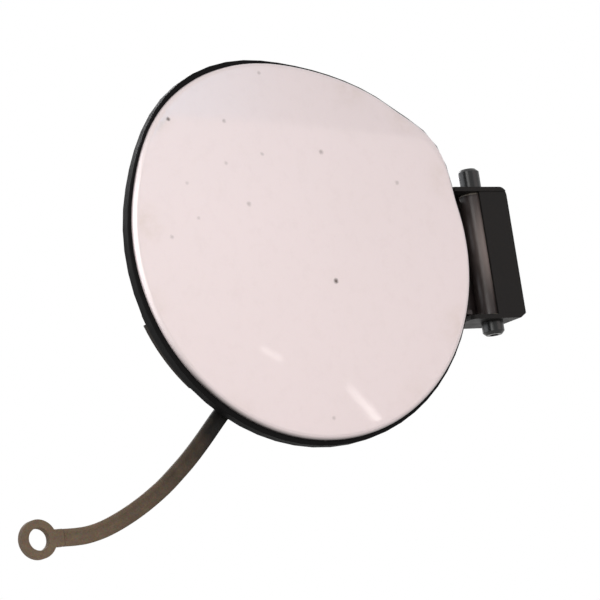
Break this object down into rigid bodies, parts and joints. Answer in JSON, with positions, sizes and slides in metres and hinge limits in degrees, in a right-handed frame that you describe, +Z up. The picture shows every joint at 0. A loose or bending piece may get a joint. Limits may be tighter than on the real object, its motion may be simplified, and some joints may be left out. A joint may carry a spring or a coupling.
{
  "type": "car fuel door",
  "caption": "Round painted car fuel door on a black moulded carrier, with its gooseneck hinge, snap-in hinge base, latch striker and fuel cap tether strap.",
  "frame": {"origin": "on the hinge base's flat back, in line with the hinge pin and half way up the base", "axes": "+Z up along the hinge pin, +Y into the car out of the base's flat back, +X from the flap towards the hinge"},
  "size_m": [0.2672, 0.0314, 0.207],
  "materials": {
    "body_paint": "gloss clear coat, light dirt specks",
    "carrier_black": "moulded black plastic, fine satin grain",
    "hinge_black": "moulded black plastic, dusty satin",
    "acetal": "natural acetal",
    "pin_steel": "ground bright steel",
    "spring_steel": "blued spring steel",
    "zinc_screw": "zinc plated",
    "nut_steel": "phosphated spring steel",
    "buffer_rubber": "soft black rubber",
    "strap_plastic": "flexible black-brown strap, dusty"
  },
  "bodies": {
    "hinge_base_body": {"hinge_base": "hinge_black", "hinge_pin": "pin_steel", "over_centre_spring": "spring_steel"},
    "flap_body": {"door_skin": "body_paint", "door_carrier": "carrier_black", "skin_push_nuts": "nut_steel", "hinge_arm": "hinge_black", "arm_screws": "zinc_screw", "upper_bush": "acetal", "lower_bush": "acetal", "open_stop_pad": "buffer_rubber", "latch_striker": "hinge_black", "striker_screws": "zinc_screw", "buffer_top": "buffer_rubber", "buffer_free_upper": "buffer_rubber", "buffer_free_lower": "buffer_rubber", "buffer_bottom": "buffer_rubber", "cap_cradle": "carrier_black", "tether_anchor": "strap_plastic", "tether_strap": "strap_plastic", "tether_eyelet": "strap_plastic"}
  },
  "joints": [
    {"name": "flap_hinge", "type": "hinge", "parent": "hinge_base_body", "child": "flap_body", "pos_m": [0, -0.013, 0], "axis": [0, 0, 1], "range_deg": [0, 95]}
  ]
}
